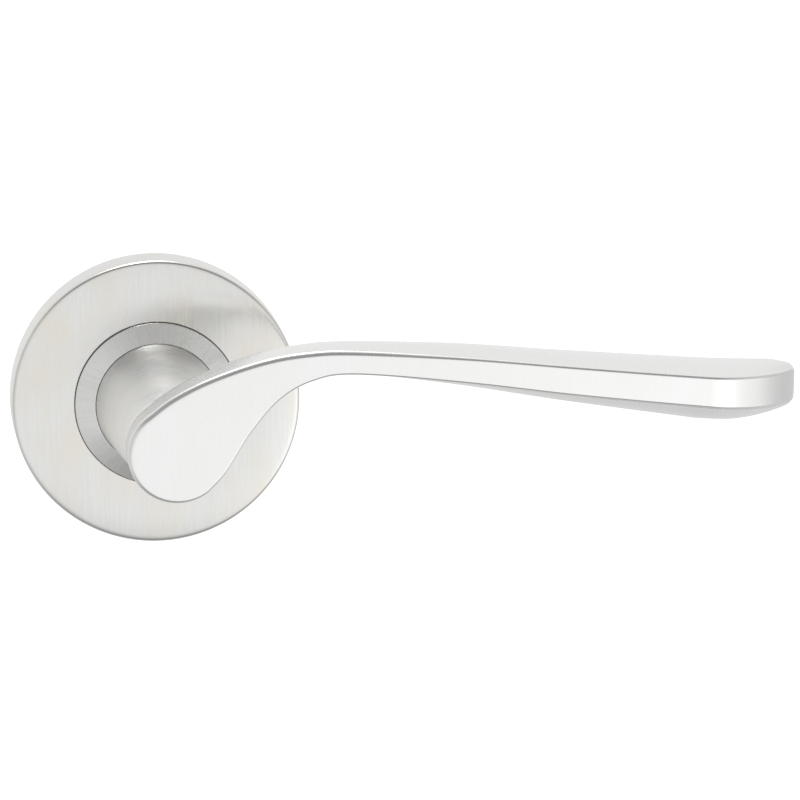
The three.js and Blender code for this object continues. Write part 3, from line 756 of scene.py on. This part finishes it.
def screw_head(name, x, z, radius, seat, crest, stem, *nodes):
    """A pan head between its seat and its crest, with a stem of [radius, out of its end] behind the seat."""
    stem_radius, stem_end = stem
    profile = [(AXIS_RADIUS, stem_end), (stem_radius, stem_end), (stem_radius, seat)]
    for i in range(HEAD_STEPS + 1):
        turn = math.radians(90 * i / HEAD_STEPS)
        across = max(AXIS_RADIUS, radius * math.cos(turn) ** HEAD_ROUND)
        profile.append((across, mix(seat, crest, math.sin(turn) ** HEAD_ROUND)))
    points, faces = lathe(crisp(profile, 0.03), HEAD_SEGMENTS, x, z)
    head = mesh_object(name, points, faces, plated, "plated_steel", "fixed", *nodes)
    depth = (crest - seat) * RECESS_DEPTH
    long = RECESS_LENGTH * radius
    short = RECESS_WIDTH * radius
    arms = [recess_arm(x, z, crest, depth, wide, high) for wide, high in ((long, short), (short, long))]
    cut_recess(head, arms)


def build_bolt(place, z):
    points, faces = threaded_shaft(z)
    node = f"through_bolt_{place}"
    mesh_object(f"bolt_thread_{place}", points, faces, plated, "plated_steel", "fixed", node)
    screw_head(f"bolt_head_{place}", 0.0, z, BOLT_HEAD_RADIUS, BOLT_SEAT, BOLT_HEAD_CREST, BOLT_STEM)


def build_post(place, z):
    sleeve = [
        (POST_BORE, POST_REAR + POST_CHAMFER),
        (POST_BORE + POST_CHAMFER, POST_REAR),
        (POST - POST_CHAMFER, POST_REAR),
        (POST, POST_REAR + POST_CHAMFER),
        (POST, POST_FRONT - POST_CHAMFER),
        (POST - POST_CHAMFER, POST_FRONT),
        (POST_BORE, POST_FRONT),
    ]
    points, faces = lathe(crisp(sleeve, 0.04), POST_SEGMENTS, z=z)
    mesh_object(f"post_{place}", points, faces, plated, "plated_steel", "fixed", f"bolt_post_{place}")


for place, z in (("upper", BOLT_PITCH / 2), ("lower", -BOLT_PITCH / 2)):
    build_bolt(place, z)
    build_post(place, z)

for i in range(SCREW_COUNT):
    turn = 2 * math.pi * i / SCREW_COUNT
    at = (SCREW_CIRCLE * math.cos(turn), SCREW_CIRCLE * math.sin(turn))
    node = f"retainer_screw_{i + 1}"
    screw_head(f"plate_screw_{i + 1}", *at, SCREW_RADIUS, SCREW_SEAT, SCREW_CREST, SCREW_STEM, node)

# ------------------------------------------------------------------ return spring

WIRE = 1.4
WIRE_LENGTH = 170.0
COIL_RADIUS = 16.55
COIL_BACK = 2.95
COIL_RISE = 2.4
COIL_START = math.radians(250)
COIL_TURN = -2 * math.pi * 1.6
LEG_SHARE = 0.04
FIXED_LEG = 1.9
MOVING_LEG = 2.6
LOOK_AHEAD = 0.002


def coil_centre(t):
    """The wire's centre line: a leg into the housing's wall, the coil, and a leg in towards the cam."""
    along = min(1.0, max(0.0, (t - LEG_SHARE) / (1 - 2 * LEG_SHARE)))
    turn = COIL_START + COIL_TURN * along
    outwards = FIXED_LEG * max(0.0, 1 - t / LEG_SHARE)
    inwards = MOVING_LEG * max(0.0, 1 - (1 - t) / LEG_SHARE)
    radius = COIL_RADIUS + outwards - inwards
    return Vector((radius * math.cos(turn), -(COIL_BACK + COIL_RISE * along), radius * math.sin(turn)))


def wound(point):
    """Where a point of the straight wire, which lies along X, goes when the wire is wound."""
    t = min(1.0, max(0.0, point.x / MM / WIRE_LENGTH))
    before = max(0.0, t - LOOK_AHEAD)
    after = min(1.0, t + LOOK_AHEAD)
    forwards = (coil_centre(after) - coil_centre(before)).normalized()
    sideways = forwards.cross(Vector((0, -1, 0))).normalized()
    upwards = sideways.cross(forwards)
    return coil_centre(t) * MM + sideways * point.y + upwards * point.z


def build_spring(steps=420, columns=16):
    points = []
    for i in range(steps + 1):
        for j in range(columns):
            turn = 2 * math.pi * j / columns
            points.append((WIRE_LENGTH * i / steps, WIRE / 2 * math.cos(turn), WIRE / 2 * math.sin(turn)))
    faces = tube_faces(steps + 1, columns)
    coil = mesh_object("coil_spring", points, faces, spring, "spring_steel", None, "return_spring")
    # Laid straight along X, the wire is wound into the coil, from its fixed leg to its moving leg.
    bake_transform(coil)
    for vertex in coil.data.vertices:
        vertex.co = wound(vertex.co)
    coil.data.update()
    outward(coil)


build_spring()

# ------------------------------------------------------------------ the pieces kept from the CAD

BEVEL_ANGLE = math.radians(35)

# Material, its slot, and the width of the broken edges.
KEPT = {
    "mounting_plate": (zinc, "zinc_casting", 0.25),
    "spring_retainer": (plated, "plated_steel", 0.12),
    "circlip": (black, "black_steel", 0.08),
    "thrust_washer": (plated, "plated_steel", 0.06),
    "spring_cam": (plated, "plated_steel", 0.1),
    "neck_bush": (nylon, "nylon", 0.1),
    "cover_clip_1": (spring, "spring_steel", 0.05),
    "cover_clip_2": (spring, "spring_steel", 0.05),
    "cover_clip_3": (spring, "spring_steel", 0.05),
    "stop_pin": (plated, "plated_steel", 0.1),
    "grub_screw": (black, "black_steel", 0.15),
    "spindle": (plated, "plated_steel", 0.35),
}
for name, (look, slot_name, width) in KEPT.items():
    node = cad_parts[name]
    node.data.materials.clear()
    node.data.materials.append(look)
    bevel = node.modifiers.new("edges", "BEVEL")
    bevel.width = width * MM
    bevel.segments = 3
    bevel.limit_method = "ANGLE"
    bevel.angle_limit = BEVEL_ANGLE
    bevel.harden_normals = False

# ------------------------------------------------------------------ stage, light and camera

FLOOR_HALF = 6.0
FLOOR_HEIGHT = -0.16
FLOOR_GLOW = 0.45

# Height of the direction from straight down (0) to straight up (1), and the tent's brightness in front.
TENT = [
    (0.0, 0.28),
    (0.10, 0.34),
    (0.22, 0.70),
    (0.32, 1.04),
    (0.45, 1.0),
    (0.62, 0.90),
    (0.70, 0.68),
    (0.77, 0.31),
    (0.93, 0.27),
    (0.975, 0.9),
    (1.0, 1.2),
]

# Patches of the tent: direction, the dot product with it where the patch begins and is full, how much it
# covers there, and its colour. In order: right, left, a bright stretch far right and a lamp low right.
PATCHES = [
    ((0.9, 0.25, 0.0), 0.6, 0.95, 0.9, (0.58, 0.58, 0.59)),
    ((-0.9, -0.25, 0.0), 0.6, 0.95, 0.9, (0.62, 0.62, 0.62)),
    ((0.913, -0.35, -0.208), 0.88, 0.955, 1.0, (1.02, 1.02, 1.02)),
    ((0.60, -0.72, -0.34), 0.88, 0.995, 0.9, (1.5, 1.5, 1.5)),
]

SOFTBOX_PLACE = (-0.05, 0.05, 0.9)
SOFTBOX_AIM = (0.05, -0.03, 0.0)
SOFTBOX_SIZE = (0.5, 0.3)
SOFTBOX_POWER = 2.5

CAMERA_AZIMUTH = math.radians(-9.84)
CAMERA_ELEVATION = math.radians(11.97)
CAMERA_DISTANCE = 0.6
CAMERA_AIM = Vector((0.0569, 0.0, -0.0034))
CAMERA_LENS = 116.46
SENSOR = 36.0


def build_stage():
    data = bpy.data.meshes.new("floor")
    corners = ((-1, -1), (1, -1), (1, 1), (-1, 1))
    data.from_pydata([(x * FLOOR_HALF, y * FLOOR_HALF, FLOOR_HEIGHT) for x, y in corners], [], [(0, 1, 2, 3)])
    floor = bpy.data.objects.new("floor", data)
    bpy.context.scene.collection.objects.link(floor)
    made, n = material("floor_pale")
    pale = n.add("ShaderNodeBsdfPrincipled", {"Base Color": (0.9, 0.9, 0.9, 1.0), "Roughness": 0.9})
    pale.inputs["Emission Color"].default_value = (1.0, 1.0, 1.0, 1.0)
    pale.inputs["Emission Strength"].default_value = FLOOR_GLOW
    finish_material(n, pale.outputs[0])
    data.materials.append(made)
    floor.visible_glossy = False


def build_softbox():
    data = bpy.data.lights.new("softbox", "AREA")
    data.shape = "RECTANGLE"
    data.size, data.size_y = SOFTBOX_SIZE
    data.energy = SOFTBOX_POWER
    lamp = bpy.data.objects.new("softbox", data)
    lamp.location = SOFTBOX_PLACE
    towards = Vector(SOFTBOX_AIM) - Vector(SOFTBOX_PLACE)
    lamp.rotation_euler = towards.to_track_quat("-Z", "Y").to_euler()
    bpy.context.scene.collection.objects.link(lamp)


def tent_brightness(n, way):
    """The tent's brightness in a direction: banded by height in front, plain behind, then the patches."""
    part = n.split(way)
    ramp = n.add("ShaderNodeValToRGB")
    n.put(ramp.inputs[0], n.spread(part[2], 0.0, 1.0, -1.0, 1.0))
    while len(ramp.color_ramp.elements) < len(TENT):
        ramp.color_ramp.elements.new(0.5)
    for element, (at, level) in zip(ramp.color_ramp.elements, TENT):
        element.position = at
        element.color = (level, level, level, 1.0)
    # Behind, it is bright down to a little under the horizon.
    behind = n.spread(part[2], 0.66, 0.88, -0.8, -0.1)
    grey = n.join(behind, behind, behind)
    front = n.spread(part[1], 1.0, 0.0, -0.45, 0.35)
    level = n.blend(front, grey, ramp.outputs[0])
    for direction, begins, full, cover, colour in PATCHES:
        amount = n.spread(n.dot(way, direction), 0.0, cover, begins, full)
        level = n.blend(amount, level, colour + (1.0,))
    return level


def build_world():
    """Plain white to the camera; to everything else a bright tent with a darker band high in front."""
    world = bpy.data.worlds.new("studio")
    world.use_nodes = True
    bpy.context.scene.world = world
    world.node_tree.nodes.clear()
    n = Nodes(world.node_tree)
    level = tent_brightness(n, n.add("ShaderNodeTexCoord").outputs["Generated"])
    tent = n.add("ShaderNodeBackground", {"Color": level, "Strength": 1.0})
    plain = n.add("ShaderNodeBackground", {"Color": (1.0, 1.0, 1.0, 1.0), "Strength": 1.0})
    seen = n.add("ShaderNodeLightPath").outputs["Is Camera Ray"]
    both = n.add("ShaderNodeMixShader", {0: seen, 1: tent.outputs[0], 2: plain.outputs[0]})
    out = n.add("ShaderNodeOutputWorld")
    n.tree.links.new(both.outputs[0], out.inputs["Surface"])


def build_camera():
    level = math.cos(CAMERA_ELEVATION)
    sideways = math.sin(CAMERA_AZIMUTH) * level
    forwards = -math.cos(CAMERA_AZIMUTH) * level
    back = Vector((sideways, forwards, math.sin(CAMERA_ELEVATION)))
    data = bpy.data.cameras.new("photo_view")
    data.sensor_width = SENSOR
    data.lens = CAMERA_LENS
    data.clip_start = 0.01
    data.clip_end = 50.0
    camera = bpy.data.objects.new("photo_view", data)
    camera.location = CAMERA_AIM + back * CAMERA_DISTANCE
    camera.rotation_euler = (-back).to_track_quat("-Z", "Y").to_euler()
    bpy.context.scene.collection.objects.link(camera)
    bpy.context.scene.camera = camera


build_stage()
build_world()
build_camera()
build_softbox()

bpy.context.scene.view_settings.view_transform = "Standard"
bpy.context.scene.view_settings.look = "None"

bpy.context.view_layer.update()
